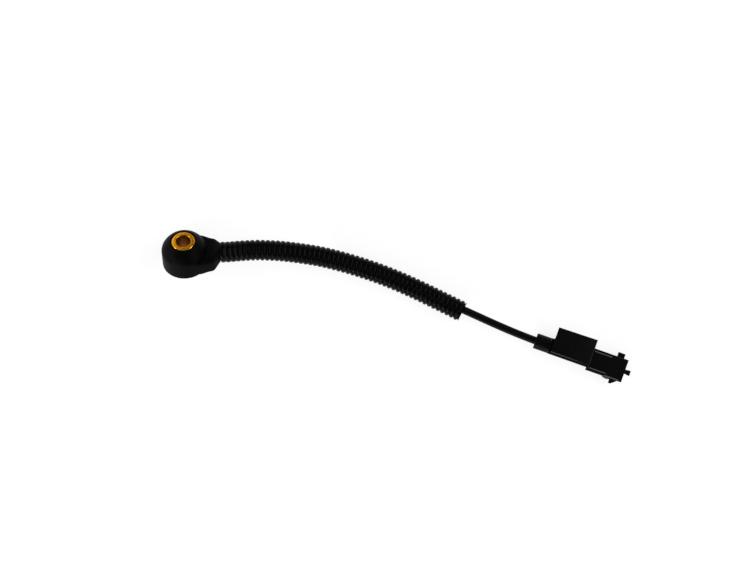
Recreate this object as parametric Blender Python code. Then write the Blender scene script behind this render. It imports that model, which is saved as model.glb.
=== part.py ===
"""Engine knock sensor: a ring-shaped head on a bolt bush, a lead in a corrugated conduit, and a
two-way plug-in connector.

Frame: metres, +Z up. The origin is the centre of the bolt bore on the bush's seat. The lead and
the connector lie flat on the surface below, and the head rests on the rim of its base.
"""

import math

import bmesh
import bpy
import numpy as np
from mathutils import Matrix, Vector
from mathutils.geometry import interpolate_bezier

MM = 0.001

# Clearance between pieces that touch, and between a piece and the hole it passes through
CLEARANCE = 0.3 * MM
# How far a cutting shape runs past the wall it cuts, and how deep joined shapes overlap
OVERRUN = 1.0 * MM
# How far the faces of joined shapes are kept from lying in one plane
JOIN_STEP = 0.1 * MM
# The radius at which a turned solid closes on its own axis
TIP_RADIUS = 0.01 * MM

# How the head lies: rolled about the neck's line, and lifted a little at the neck
HEAD_ROLL = math.radians(39)
HEAD_LIFT = math.radians(5.5)

# Mounting bush
BORE_RADIUS = 4.25 * MM
BUSH_WALL = 2.45 * MM
BUSH_RADIUS = BORE_RADIUS + BUSH_WALL
BUSH_BORE_CHAMFER = 0.5 * MM
BUSH_OUTER_CHAMFER = 0.35 * MM
FLANGE_WIDTH = 2.7 * MM
FLANGE_RADIUS = BUSH_RADIUS + FLANGE_WIDTH
FLANGE_HEIGHT = 2.0 * MM

# Parts stacked on the bush, from the flange up
SLEEVE_WALL = 0.4 * MM
SLEEVE_RADIUS = BUSH_RADIUS + CLEARANCE + SLEEVE_WALL
STACK_BORE_RADIUS = SLEEVE_RADIUS + CLEARANCE
STACK_WIDTH = 3.3 * MM
STACK_RADIUS = STACK_BORE_RADIUS + STACK_WIDTH
INSULATOR_THICKNESS = 0.4 * MM
CONTACT_THICKNESS = 0.3 * MM
CONTACT_RADIUS = STACK_RADIUS - 0.4 * MM
CERAMIC_THICKNESS = 2.2 * MM
CERAMIC_RADIUS = STACK_RADIUS - 0.6 * MM
MASS_THICKNESS = 3.0 * MM
MASS_RADIUS = STACK_RADIUS - 0.2 * MM
SPRING_THICKNESS = 0.4 * MM
SPRING_RISE = 0.3 * MM
SPRING_RADIUS = STACK_RADIUS - 1.0 * MM
NUT_THICKNESS = 2.3 * MM
NUT_RADIUS = STACK_RADIUS - 2.0 * MM
NUT_NOTCH_WIDTH = 2.4 * MM
NUT_NOTCH_DEPTH = 0.8 * MM

# The height at which each part of the stack starts
LOWER_INSULATOR_LOW = FLANGE_HEIGHT + CLEARANCE
LOWER_CONTACT_LOW = LOWER_INSULATOR_LOW + INSULATOR_THICKNESS + CLEARANCE
CERAMIC_LOW = LOWER_CONTACT_LOW + CONTACT_THICKNESS + CLEARANCE
UPPER_CONTACT_LOW = CERAMIC_LOW + CERAMIC_THICKNESS + CLEARANCE
UPPER_INSULATOR_LOW = UPPER_CONTACT_LOW + CONTACT_THICKNESS + CLEARANCE
MASS_LOW = UPPER_INSULATOR_LOW + INSULATOR_THICKNESS + CLEARANCE
SPRING_LOW = MASS_LOW + MASS_THICKNESS + CLEARANCE
NUT_LOW = SPRING_LOW + SPRING_RISE + SPRING_THICKNESS + CLEARANCE
STACK_TOP = NUT_LOW + NUT_THICKNESS

# Head housing, round the stack
BODY_WALL = 1.3 * MM
STACK_ROOM = 0.7 * MM
BODY_RADIUS = STACK_RADIUS + STACK_ROOM + BODY_WALL
BODY_FOOT = 0.15 * MM
BODY_EDGE = 0.35 * MM
DOME_ROOM = 2.8 * MM
COLLAR_HEIGHT = STACK_TOP + DOME_ROOM + BODY_WALL
COLLAR_WIDTH = 1.0 * MM
COLLAR_RADIUS = BUSH_RADIUS + COLLAR_WIDTH
DOME_RISE = 6.7 * MM
DOME_BULGE = 0.6 * MM
SHOULDER_HEIGHT = COLLAR_HEIGHT - DOME_RISE
BUSH_PROUD = 0.3 * MM
BUSH_HEIGHT = COLLAR_HEIGHT + BUSH_PROUD
ROUND_SIDES = 40

# The contacts' tabs, and the pocket that they reach into
TAB_REACH = 2.2 * MM
TAB_END = STACK_RADIUS + TAB_REACH
TAB_WIDTH = 3.0 * MM
TAB_SIDE = 1.8 * MM
POCKET_ROOM = 2.2 * MM
POCKET_END = TAB_END + POCKET_ROOM
POCKET_HALF_WIDTH = 5.2 * MM
POCKET_LOW = LOWER_CONTACT_LOW - 0.6 * MM
POCKET_HIGH = SHOULDER_HEIGHT - 1.0 * MM

# Neck: its line's height, and its sections, each given as its distance from the bush, how much
# narrower than the body it is to each side, its lowest height, how far its top lies below the
# shoulder, and its corner radius
NECK_AXIS_DROP = 3.1 * MM
NECK_AXIS_HEIGHT = SHOULDER_HEIGHT - NECK_AXIS_DROP
NECK_REACH = 7.6 * MM
NECK_LENGTH = BODY_RADIUS + NECK_REACH
NECK_END_RADIUS = 4.8 * MM
NECK_ROOT = BODY_RADIUS - 10.0 * MM
NECK_SPREAD = BODY_RADIUS - 3.0 * MM
NECK_MIDDLE = BODY_RADIUS + 0.9 * MM
NECK_SHOULDER = BODY_RADIUS + 3.7 * MM
NECK_SECTIONS = (
    (NECK_ROOT, 1.4 * MM, 0.5 * MM, 0.1 * MM, 1.6 * MM),
    (NECK_SPREAD, 2.3 * MM, 0.4 * MM, 0.0, 2.0 * MM),
    (NECK_MIDDLE, 3.55 * MM, 0.4 * MM, 0.0, 2.8 * MM),
    (NECK_SHOULDER, 4.45 * MM, 0.4 * MM, 0.0, 3.0 * MM),
)
SPIGOT_RADIUS = 4.3 * MM
SPIGOT_LENGTH = 5.0 * MM

# Resistor across the two tabs
RESISTOR_RADIUS = 0.85 * MM
RESISTOR_LENGTH = 3.0 * MM
RESISTOR_LEAD_RADIUS = 0.25 * MM
RESISTOR_LEAD_REACH = 0.6 * MM
RESISTOR_ROOM = 1.0 * MM
RESISTOR_DISTANCE = STACK_RADIUS + RESISTOR_ROOM
RESISTOR_SHOULDER = 0.05 * MM

# Lead
CABLE_RADIUS = 2.2 * MM
CORE_RADIUS = 0.6 * MM
CORE_SIDE = 1.25 * MM
# How far a core lies on its tab, or runs into its crimp barrel, and how gently it bends
CORE_ON_TAB = 1.2 * MM
CORE_IN_BARREL = 6.0 * MM
CORE_EASE = 0.55
CONDUIT_RADIUS = 5.75 * MM
CONDUIT_VALLEY_RADIUS = 5.15 * MM
CONDUIT_BORE_RADIUS = 4.7 * MM
CONDUIT_SIDES = 16
RIB_PITCH = 2.8 * MM
RIB_CREST_SHARE = 0.5
CABLE_POINT_SPACING = 9.0 * MM
# The cable's place at the conduit's end, to the side of the conduit's line and below it
CABLE_SIDE_OFFSET = 1.3 * MM
CABLE_DROP = 0.5 * MM

# The lead's route in X, Y and height above the surface, in millimetres, chosen by hand:
# first the conduit's line, then the bare cable's
CONDUIT_ROUTE = (
    (31.0, 6.15, 17.0),
    (42.4, 6.55, 16.7),
    (53.7, 6.0, 14.9),
    (65.1, 4.7, 12.2),
    (76.5, 2.85, 9.5),
    (87.8, 0.15, 7.3),
    (99.2, -3.2, 6.1),
    (110.6, -7.1, 5.75),
    (121.9, -11.65, 5.75),
    (133.3, -16.8, 5.75),
    (144.7, -22.35, 5.75),
    (153.2, -26.6, 5.75),
    (157.1, -28.6, 5.75),
)
BARE_ROUTE = (
    (165.0, -30.5, 5.0),
    (173.6, -34.4, 4.9),
    (183.9, -39.0, 5.0),
    (191.4, -42.2, 5.15),
)

# Connector: where its rear end is, which way it points, and its height above the surface
CONNECTOR_X = 198.7 * MM
CONNECTOR_Y = -45.0 * MM
CONNECTOR_TURN = math.radians(-19.5)
CONNECTOR_AXIS_HEIGHT = 5.2 * MM

# Connector's rear end: cap, seal and cable
CAP_LENGTH = 8.4 * MM
CAP_RADIUS = 4.5 * MM
CAP_PLUG_LENGTH = 3.5 * MM
CAP_PLUG_RADIUS = 3.2 * MM
CAP_EDGE = 0.4 * MM
SEAL_LENGTH = 3.6 * MM
SEAL_GROOVE = 0.25 * MM
CABLE_END_DISTANCE = 16.4 * MM

# Connector housing, measured along its axis from the cap's rear end, and across it
REAR_BORE_RADIUS = CAP_PLUG_RADIUS + CLEARANCE
REAR_RIM_LENGTH = 1.3 * MM
REAR_RIM_LOW = -4.6 * MM
REAR_RIM_HIGH = 4.65 * MM
BODY_LOW = -4.6 * MM
BODY_HIGH = 5.2 * MM
BODY_HALF_THICKNESS = 4.7 * MM
BODY_CORNER = 0.6 * MM
SHROUD_START = 33.2 * MM
SHROUD_END = 53.8 * MM
SHROUD_LOW = -6.2 * MM
SHROUD_HIGH = 7.2 * MM
SHROUD_HALF_THICKNESS = 5.2 * MM
SHROUD_WALL = 1.2 * MM
SHROUD_CORNER = 1.4 * MM
SHROUD_FLOOR = 35.6 * MM
FLANGE_THICKNESS = 1.0 * MM
FLANGE_PROUD = 0.5 * MM
RAIL_START = 34.0 * MM
RAIL_END = 44.4 * MM
RAIL_WIDTH = 0.9 * MM
RAIL_HEIGHT = 0.5 * MM
RAIL_LOW_INSET = 1.85 * MM
RAIL_HIGH_INSET = 1.55 * MM

# Clip pocket on the connector's upper face
CLIP_START = 10.3 * MM
CLIP_END = 33.5 * MM
CLIP_LOW = -3.3 * MM
CLIP_HIGH = 11.7 * MM
CLIP_FLARE = 0.45 * MM
CLIP_THICKNESS = 4.4 * MM
CLIP_SINK = 0.6 * MM
CLIP_CORNER = 0.5 * MM
CLIP_SLOT_WIDTH = 11.6 * MM
CLIP_SLOT_THICKNESS = 2.2 * MM
# Corners of the shroud's small moulded lugs
LUG_CORNER = 0.25 * MM

# Locking nub on one side of the shroud, ramp on the other, tongue at the mouth
NUB_START = 46.8 * MM
NUB_END = 51.0 * MM
NUB_HEIGHT = 2.55 * MM
NUB_HALF_THICKNESS = 2.2 * MM
RAMP_START = 46.8 * MM
RAMP_END = 51.4 * MM
RAMP_HEIGHT = 2.6 * MM
RAMP_FLAT = 1.4 * MM
RAMP_HEEL_START = 42.4 * MM
RAMP_HEEL_PEAK = 44.5 * MM
RAMP_HEEL_HEIGHT = 1.0 * MM
RAMP_HEEL_FALL = 0.5 * MM
TONGUE_REACH = 3.2 * MM
TONGUE_HEAD_LENGTH = 1.9 * MM
TONGUE_LOW = -1.2 * MM
TONGUE_HIGH = 1.8 * MM
TONGUE_NECK_INSET = 0.2 * MM
TONGUE_ROOT = 4.0 * MM

# Terminals and their lock
TERMINAL_PITCH = 5.0 * MM
TERMINAL_CENTRE = 0.5 * MM
PIN_RECESS = 7.0 * MM
PIN_WIDTH = 1.6 * MM
PIN_THICKNESS = 0.8 * MM
PIN_TAPER = 0.8 * MM
BARREL_START = 20.6 * MM
BARREL_LENGTH = 8.0 * MM
BARREL_RADIUS = 1.5 * MM
BLADE_ROOT_WIDTH = 2.4 * MM
BLADE_ROOT_THICKNESS = 1.5 * MM
BLADE_ROOT_OVERLAP = 1.5 * MM
CELL_START = 17.6 * MM
CELL_END = 31.6 * MM
CELL_HALF_THICKNESS = 2.6 * MM
CELL_SIDE = 2.1 * MM
LOCK_THICKNESS = 2.2 * MM


def clear_scene():
    """Removes the objects that the file holds."""
    for thing in list(bpy.data.objects):
        bpy.data.objects.remove(thing)


def principled(name, colour, roughness, metallic):
    """A plain Principled material."""
    made = bpy.data.materials.new(name)
    made.use_nodes = True
    shader = made.node_tree.nodes["Principled BSDF"]
    shader.inputs["Base Color"].default_value = (*colour, 1.0)
    shader.inputs["Roughness"].default_value = roughness
    shader.inputs["Metallic"].default_value = metallic
    return made


def add_object(name, mesh, material=None, parent=None):
    """Puts a mesh into the scene, shaded smooth with its corners kept sharp."""
    mesh.shade_smooth()
    mesh.set_sharp_from_angle(angle=math.radians(35))
    if material is not None:
        mesh.materials.append(material)
    thing = bpy.data.objects.new(name, mesh)
    bpy.context.scene.collection.objects.link(thing)
    thing.parent = parent
    return thing


def add_helper(name, mesh, parent=None):
    """A shape that only cuts or joins, and isn't a piece itself."""
    thing = add_object(name, mesh, parent=parent)
    thing.hide_render = True
    thing.display_type = "WIRE"
    return thing


def combine(thing, helper, operation):
    """Joins a helper to an object, or cuts it out of it."""
    step = thing.modifiers.new(helper.name, "BOOLEAN")
    step.operation = operation
    step.solver = "EXACT"
    step.object = helper


def finish_mesh(name, work):
    """Turns a closed bmesh into a mesh whose faces point out."""
    bmesh.ops.recalc_face_normals(work, faces=work.faces)
    mesh = bpy.data.meshes.new(name)
    work.to_mesh(mesh)
    work.free()
    return mesh


def loft(name, rings, closed=False):
    """A skin over rings of points. Its two ends are capped, or joined to each other if closed."""
    work = bmesh.new()
    made = [[work.verts.new(point) for point in ring] for ring in rings]
    pairs = list(zip(made, made[1:]))
    if closed:
        pairs.append((made[-1], made[0]))
    for near, far in pairs:
        count = len(near)
        for i in range(count):
            j = (i + 1) % count
            work.faces.new((near[i], near[j], far[j], far[i]))
    if not closed:
        work.faces.new(made[0])
        work.faces.new(made[-1])
    return finish_mesh(name, work)


def circle(radius, height, sides=ROUND_SIDES):
    """A ring of points round the Z axis."""
    turns = [2 * math.pi * i / sides for i in range(sides)]
    return [Vector((radius * math.cos(t), radius * math.sin(t), height)) for t in turns]


def turned(name, profile, sides=ROUND_SIDES, bored=False):
    """A turned shape from a profile of radius and height. A bored one's profile is a loop."""
    rings = [circle(radius, height, sides) for radius, height in profile]
    return loft(name, rings, closed=bored)


def ring_profile(inner, outer, low, high):
    """The section of a plain ring, as a loop."""
    return [(inner, low), (outer, low), (outer, high), (inner, high)]


def block(name, low, high, corner=0.0, segments=2):
    """A box between two corners, with its edges rounded."""
    work = bmesh.new()
    bmesh.ops.create_cube(work, size=1.0)
    low, high = Vector(low), Vector(high)
    size = high - low
    for vert in work.verts:
        vert.co = Vector([(low[k] + high[k]) / 2 + vert.co[k] * size[k] for k in range(3)])
    if corner:
        bmesh.ops.bevel(
            work, geom=work.edges[:], offset=corner, segments=segments, affect="EDGES", profile=0.5
        )
    return finish_mesh(name, work)


def long_block(name, low, high, corner, segments=3):
    """A box whose four long edges, those along X, are rounded."""
    middle_y, middle_z = (low[1] + high[1]) / 2, (low[2] + high[2]) / 2
    half_y, half_z = (high[1] - low[1]) / 2, (high[2] - low[2]) / 2
    outline = rounded_outline(half_y, half_z, corner, segments)
    rings = [[Vector((x, middle_y + y, middle_z + z)) for y, z in outline] for x in (low[0], high[0])]
    return loft(name, rings)


def rounded_outline(half_width, half_height, corner, segments):
    """A rectangle with rounded corners, as points from the first quadrant round."""
    points = []
    centres = ((1, 1), (-1, 1), (-1, -1), (1, -1))
    for quarter, (side_y, side_z) in enumerate(centres):
        for i in range(segments + 1):
            turn = (quarter + i / segments) * math.pi / 2
            y = side_y * (half_width - corner) + corner * math.cos(turn)
            z = side_z * (half_height - corner) + corner * math.sin(turn)
            points.append((y, z))
    return points


def smooth_line(points, steps=24):
    """A smooth curve through points, as many short straight steps."""
    points = [Vector(p) for p in points]
    ends = [points[0] * 2 - points[1], *points, points[-1] * 2 - points[-2]]
    line = [points[0]]
    for a, b, c, d in zip(ends, ends[1:], ends[2:], ends[3:]):
        for i in range(1, steps + 1):
            t = i / steps
            line.append(
                0.5
                * (
                    2 * b
                    + (c - a) * t
                    + (2 * a - 5 * b + 4 * c - d) * t**2
                    + (3 * b - a - 3 * c + d) * t**3
                )
            )
    return line


def distances(line):
    """How far along the line each of its points is."""
    points = np.array([tuple(p) for p in line])
    return np.concatenate([[0.0], np.cumsum(np.linalg.norm(np.diff(points, axis=0), axis=1))])


def points_along(line, places):
    """The points of a line at the given distances along it."""
    points = np.array([tuple(p) for p in line])
    along = distances(line)
    found = [np.interp(places, along, points[:, k]) for k in range(3)]
    return [Vector(p) for p in zip(*found)]


def swept_rings(line, radii, sides):
    """Rings of points square to a line, each with its own radius."""
    rings = []
    across = Vector((0, 0, 1))
    for i, (place, radius) in enumerate(zip(line, radii)):
        ahead = line[min(i + 1, len(line) - 1)] - line[max(i - 1, 0)]
        ahead.normalize()
        across = across - ahead * across.dot(ahead)
        if across.length < 0.1:
            across = ahead.orthogonal()
        across.normalize()
        other = ahead.cross(across)
        turns = [2 * math.pi * k / sides for k in range(sides)]
        rings.append([place + radius * (across * math.cos(t) + other * math.sin(t)) for t in turns])
    return rings


def head_frame():
    """The empty that holds the head's pieces, at the seat's centre."""
    frame = bpy.data.objects.new("head_frame", None)
    frame.rotation_euler = (-HEAD_ROLL, -HEAD_LIFT, 0.0)
    bpy.context.scene.collection.objects.link(frame)
    return frame


def head_matrix():
    """Turns a point of the upright head into the part's frame."""
    return Matrix.Rotation(-HEAD_LIFT, 4, "Y") @ Matrix.Rotation(-HEAD_ROLL, 4, "X")


def surface_height():
    """The height of the surface below, which the rim of the head's base touches."""
    bush_line = head_matrix() @ Vector((0, 0, 1))
    slope = math.sqrt(1 - bush_line.z**2)
    rims = ((BODY_RADIUS - BODY_EDGE, BODY_FOOT), (BODY_RADIUS, BODY_FOOT + BODY_EDGE))
    return min(height * bush_line.z - radius * slope for radius, height in rims)


def dome_profile(foot_radius, foot_height, top_radius, top_height, steps=6):
    """The dome's section from its top rim down to its foot, slightly bulged."""
    run = Vector((foot_radius - top_radius, foot_height - top_height))
    outward = Vector((-run.y, run.x)).normalized()
    points = []
    for i in range(steps + 1):
        t = i / steps
        point = Vector((top_radius, top_height)) + run * t
        point += outward * DOME_BULGE * math.sin(math.pi * t)
        points.append((point.x, point.y))
    return points


def make_bush(material, frame):
    """The metal sleeve that the bolt clamps, with its base flange."""
    low = FLANGE_HEIGHT
    profile = [
        (BORE_RADIUS + BUSH_BORE_CHAMFER, 0.0),
        (FLANGE_RADIUS, 0.0),
        (FLANGE_RADIUS, low),
        (BUSH_RADIUS, low),
        (BUSH_RADIUS, BUSH_HEIGHT - BUSH_OUTER_CHAMFER),
        (BUSH_RADIUS - BUSH_OUTER_CHAMFER, BUSH_HEIGHT),
        (BORE_RADIUS + BUSH_BORE_CHAMFER, BUSH_HEIGHT),
        (BORE_RADIUS, BUSH_HEIGHT - BUSH_BORE_CHAMFER),
        (BORE_RADIUS, BUSH_BORE_CHAMFER),
    ]
    add_object("mounting_bush", turned("mounting_bush", profile, bored=True), material, frame)


def make_head_housing(material, frame):
    """The moulded casing: dome, wall, neck and conduit spigot, hollowed for the stack."""
    outside = [
        (TIP_RADIUS, COLLAR_HEIGHT),
        *dome_profile(BODY_RADIUS, SHOULDER_HEIGHT, COLLAR_RADIUS, COLLAR_HEIGHT),
        (BODY_RADIUS, BODY_FOOT + BODY_EDGE),
        (BODY_RADIUS - BODY_EDGE, BODY_FOOT),
        (TIP_RADIUS, BODY_FOOT),
    ]
    housing = add_object("head_housing", turned("head_housing", outside), material, frame)

    def section(distance, half_width, low, high, corner):
        outline = rounded_outline(half_width, (high - low) / 2, corner, 4)
        middle = (low + high) / 2
        return [Vector((distance, y, middle + z)) for y, z in outline]

    sections = [
        section(distance, BODY_RADIUS - inset, low, SHOULDER_HEIGHT - drop, corner)
        for distance, inset, low, drop, corner in NECK_SECTIONS
    ]
    end_low = NECK_AXIS_HEIGHT - NECK_END_RADIUS
    end_high = NECK_AXIS_HEIGHT + NECK_END_RADIUS
    end_corner = NECK_END_RADIUS - JOIN_STEP
    sections.append(section(NECK_LENGTH, NECK_END_RADIUS, end_low, end_high, end_corner))
    neck = loft("neck", sections)
    combine(housing, add_helper("neck", neck, frame), "UNION")

    def bar(name, start, stop, radius, sides):
        line = [Vector((x, 0, NECK_AXIS_HEIGHT)) for x in (start, stop)]
        return add_helper(name, loft(name, swept_rings(line, (radius, radius), sides)), frame)

    spigot_end = NECK_LENGTH + SPIGOT_LENGTH
    start = NECK_LENGTH - OVERRUN
    combine(housing, bar("spigot", start, spigot_end, SPIGOT_RADIUS, 24), "UNION")

    hole = BUSH_RADIUS + CLEARANCE
    base_hole = FLANGE_RADIUS + CLEARANCE
    cavity = [
        (TIP_RADIUS, COLLAR_HEIGHT + OVERRUN),
        (hole, COLLAR_HEIGHT + OVERRUN),
        *dome_profile(
            BODY_RADIUS - BODY_WALL,
            SHOULDER_HEIGHT - BODY_WALL / 2,
            hole,
            COLLAR_HEIGHT - BODY_WALL,
        ),
        (BODY_RADIUS - BODY_WALL, FLANGE_HEIGHT),
        (base_hole, FLANGE_HEIGHT),
        (base_hole, -OVERRUN),
        (TIP_RADIUS, -OVERRUN),
    ]
    cavity_helper = add_helper("head_cavity", turned("head_cavity", cavity), frame)
    combine(housing, cavity_helper, "DIFFERENCE")
    pocket = block(
        "neck_pocket",
        (FLANGE_RADIUS, -POCKET_HALF_WIDTH, POCKET_LOW),
        (POCKET_END, POCKET_HALF_WIDTH, POCKET_HIGH),
    )
    combine(housing, add_helper("neck_pocket", pocket, frame), "DIFFERENCE")
    cable_hole = CABLE_RADIUS + CLEARANCE
    start = POCKET_END - OVERRUN
    combine(housing, bar("cable_hole", start, spigot_end + OVERRUN, cable_hole, 24), "DIFFERENCE")


def make_stack(materials, frame):
    """The parts clamped on the bush."""
    inner = STACK_BORE_RADIUS
    insulation = materials["insulation"]
    brass = materials["brass"]
    steel = materials["steel"]

    def ring(name, outer, low, thickness, material, bore=inner):
        profile = ring_profile(bore, outer, low, low + thickness)
        return add_object(name, turned(name, profile, bored=True), material, frame)

    def contact(name, low, side):
        disc = ring(name, CONTACT_RADIUS, low, CONTACT_THICKNESS, brass)
        start = (inner + CONTACT_RADIUS) / 2
        middle = side * TAB_SIDE
        tab = block(
            name + "_tab",
            (start, middle - TAB_WIDTH / 2, low),
            (TAB_END, middle + TAB_WIDTH / 2, low + CONTACT_THICKNESS),
        )
        combine(disc, add_helper(name + "_tab", tab, frame), "UNION")

    ring("lower_insulator", STACK_RADIUS, LOWER_INSULATOR_LOW, INSULATOR_THICKNESS, insulation)
    contact("lower_contact", LOWER_CONTACT_LOW, -1)
    ring("piezo_ring", CERAMIC_RADIUS, CERAMIC_LOW, CERAMIC_THICKNESS, materials["ceramic"])
    contact("upper_contact", UPPER_CONTACT_LOW, 1)
    ring("upper_insulator", STACK_RADIUS, UPPER_INSULATOR_LOW, INSULATOR_THICKNESS, insulation)
    ring("seismic_mass", MASS_RADIUS, MASS_LOW, MASS_THICKNESS, steel)
    bush_hole = BUSH_RADIUS + CLEARANCE
    sleeve_height = MASS_LOW + MASS_THICKNESS - LOWER_INSULATOR_LOW
    ring(
        "insulating_sleeve",
        SLEEVE_RADIUS,
        LOWER_INSULATOR_LOW,
        sleeve_height,
        insulation,
        bore=bush_hole,
    )
    spring = [
        (inner, SPRING_LOW + SPRING_RISE),
        (SPRING_RADIUS, SPRING_LOW),
        (SPRING_RADIUS, SPRING_LOW + SPRING_THICKNESS),
        (inner, SPRING_LOW + SPRING_RISE + SPRING_THICKNESS),
    ]
    add_object("disc_spring", turned("disc_spring", spring, bored=True), steel, frame)
    nut = ring("clamp_nut", NUT_RADIUS, NUT_LOW, NUT_THICKNESS, steel, bore=bush_hole)
    for quarter in range(4):
        notch = block(
            "nut_notch_%d" % (quarter + 1),
            (NUT_RADIUS - NUT_NOTCH_DEPTH, -NUT_NOTCH_WIDTH / 2, NUT_LOW - OVERRUN),
            (NUT_RADIUS + OVERRUN, NUT_NOTCH_WIDTH / 2, STACK_TOP + OVERRUN),
        )
        notch.transform(Matrix.Rotation(math.radians(45 + 90 * quarter), 4, "Z"))
        combine(nut, add_helper(notch.name, notch, frame), "DIFFERENCE")


def make_resistor(material, frame):
    """A small resistor with two bent leads, across the two contact tabs."""
    x = RESISTOR_DISTANCE
    foot = LOWER_CONTACT_LOW + CONTACT_THICKNESS + CLEARANCE
    head = UPPER_CONTACT_LOW - CLEARANCE
    middle = (foot + head) / 2
    start = TAB_SIDE - RESISTOR_LENGTH / 2
    stop = start + RESISTOR_LENGTH
    reach = RESISTOR_LEAD_REACH
    thin, thick = RESISTOR_LEAD_RADIUS, RESISTOR_RADIUS
    route = [
        ((start - reach, foot), thin),
        ((start - reach, middle - 2 * thin), thin),
        ((start - reach + 2 * thin, middle), thin),
        ((start - RESISTOR_SHOULDER, middle), thin),
        ((start, middle), thick),
        ((stop, middle), thick),
        ((stop + RESISTOR_SHOULDER, middle), thin),
        ((stop + reach - 2 * thin, middle), thin),
        ((stop + reach, middle + 2 * thin), thin),
        ((stop + reach, head), thin),
    ]
    line = [Vector((x, y, z)) for (y, z), _ in route]
    rings = swept_rings(line, [radius for _, radius in route], 10)
    add_object("bleed_resistor", loft("bleed_resistor", rings), material, frame)


def core_bend(start, end):
    """A gentle bend from one point to another, level at both ends."""
    start, end = Vector(start), Vector(end)
    ease = Vector(((end.x - start.x) * CORE_EASE, 0, 0))
    return interpolate_bezier(start, start + ease, end - ease, end, 9)


def make_core_wire(name, line, material, parent):
    """One of the cable's cores, bare of the outer jacket."""
    rings = swept_rings(line, [CORE_RADIUS] * len(line), 10)
    add_object(name, loft(name, rings), material, parent)


def make_head_cores(materials, frame):
    """The two cores from the cable's end to the two tabs."""
    rest = CONTACT_THICKNESS + CLEARANCE + CORE_RADIUS
    sides = (
        ("head_core_wire_1", -1, LOWER_CONTACT_LOW + rest, materials["core_red"]),
        ("head_core_wire_2", 1, UPPER_CONTACT_LOW + rest, materials["core_white"]),
    )
    for name, side, height, material in sides:
        start = (POCKET_END - CLEARANCE, side * CORE_SIDE, NECK_AXIS_HEIGHT)
        end = (TAB_END - CORE_ON_TAB, side * TAB_SIDE, height)
        make_core_wire(name, core_bend(start, end), material, frame)


def neck_point(distance):
    """A point of the neck's line, in the part's frame."""
    return head_matrix() @ Vector((distance, 0, NECK_AXIS_HEIGHT))


def conduit_points():
    """The conduit's route: straight off the spigot, then the points chosen by hand."""
    surface = surface_height()
    start = NECK_LENGTH + CLEARANCE
    route = [neck_point(start), neck_point(NECK_LENGTH + SPIGOT_LENGTH)]
    route += [Vector((x * MM, y * MM, surface + h * MM)) for x, y, h in CONDUIT_ROUTE]
    return route


def cable_points():
    """The cable's route: inside the neck and the conduit, then bare, then into the connector."""
    conduit = conduit_points()
    last = len(conduit) - 1
    route = [neck_point(POCKET_END + CLEARANCE)]
    for i, point in enumerate(conduit):
        share = (i / last) ** 2
        ahead = conduit[min(i + 1, last)] - conduit[max(i - 1, 0)]
        side = Vector((-ahead.y, ahead.x, 0)).normalized()
        route.append(point + side * CABLE_SIDE_OFFSET * share - Vector((0, 0, CABLE_DROP * share)))
    surface = surface_height()
    route += [Vector((x * MM, y * MM, surface + h * MM)) for x, y, h in BARE_ROUTE]
    place = connector_matrix()
    route += [place @ Vector((x, 0, 0)) for x in (0.0, CAP_LENGTH, CABLE_END_DISTANCE)]
    return route


def make_conduit(material):
    """The corrugated tube over the cable."""
    line = smooth_line(conduit_points())
    length = distances(line)[-1]
    ribs = int(length / RIB_PITCH)
    margin = (length - ribs * RIB_PITCH) / 2
    slope = (1 - RIB_CREST_SHARE) / 2 * RIB_PITCH
    places, radii = [0.0], [CONDUIT_VALLEY_RADIUS]
    for rib in range(ribs):
        start = margin + rib * RIB_PITCH
        if rib:
            places.append(start)
            radii.append(CONDUIT_VALLEY_RADIUS)
        places += [start + slope, start + RIB_PITCH - slope]
        radii += [CONDUIT_RADIUS, CONDUIT_RADIUS]
    places.append(length)
    radii.append(CONDUIT_VALLEY_RADIUS)
    outside = swept_rings(points_along(line, places), radii, CONDUIT_SIDES)
    steps = len(conduit_points()) * 2
    inner_places = [length * (1 - i / steps) for i in range(steps + 1)]
    inner_line = points_along(line, inner_places[::-1])
    inside = swept_rings(inner_line, [CONDUIT_BORE_RADIUS] * len(inner_line), CONDUIT_SIDES)
    rings = outside + inside[::-1]
    add_object("conduit", loft("conduit", rings, closed=True), material)


def make_cable(material):
    """The round cable, as a curve with its full thickness."""
    line = smooth_line(cable_points())
    length = distances(line)[-1]
    count = round(length / CABLE_POINT_SPACING) + 1
    places = [length * i / (count - 1) for i in range(count)]
    curve = bpy.data.curves.new("cable", "CURVE")
    curve.dimensions = "3D"
    curve.bevel_depth = CABLE_RADIUS
    curve.bevel_resolution = 3
    curve.use_fill_caps = True
    spline = curve.splines.new("POLY")
    spline.points.add(count - 1)
    for knot, point in zip(spline.points, points_along(line, places)):
        knot.co = (*point, 1.0)
    curve.materials.append(material)
    bpy.context.scene.collection.objects.link(bpy.data.objects.new("cable", curve))


def connector_matrix():
    """Turns a point of the connector, along, across and up, into the part's frame."""
    place = Vector((CONNECTOR_X, CONNECTOR_Y, surface_height() + CONNECTOR_AXIS_HEIGHT))
    return Matrix.Translation(place) @ Matrix.Rotation(CONNECTOR_TURN, 4, "Z")


def connector_frame():
    """The empty that holds the connector's pieces, at the rear end of its axis."""
    frame = bpy.data.objects.new("connector_frame", None)
    frame.location = connector_matrix().to_translation()
    frame.rotation_euler = (0.0, 0.0, CONNECTOR_TURN)
    bpy.context.scene.collection.objects.link(frame)
    return frame


def turned_along(name, profile, sides=24, bored=False):
    """A turned shape about the connector's axis, from a profile of radius and distance."""
    mesh = turned(name, profile, sides, bored)
    mesh.transform(Matrix.Rotation(math.radians(90), 4, "Y"))
    return mesh


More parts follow.
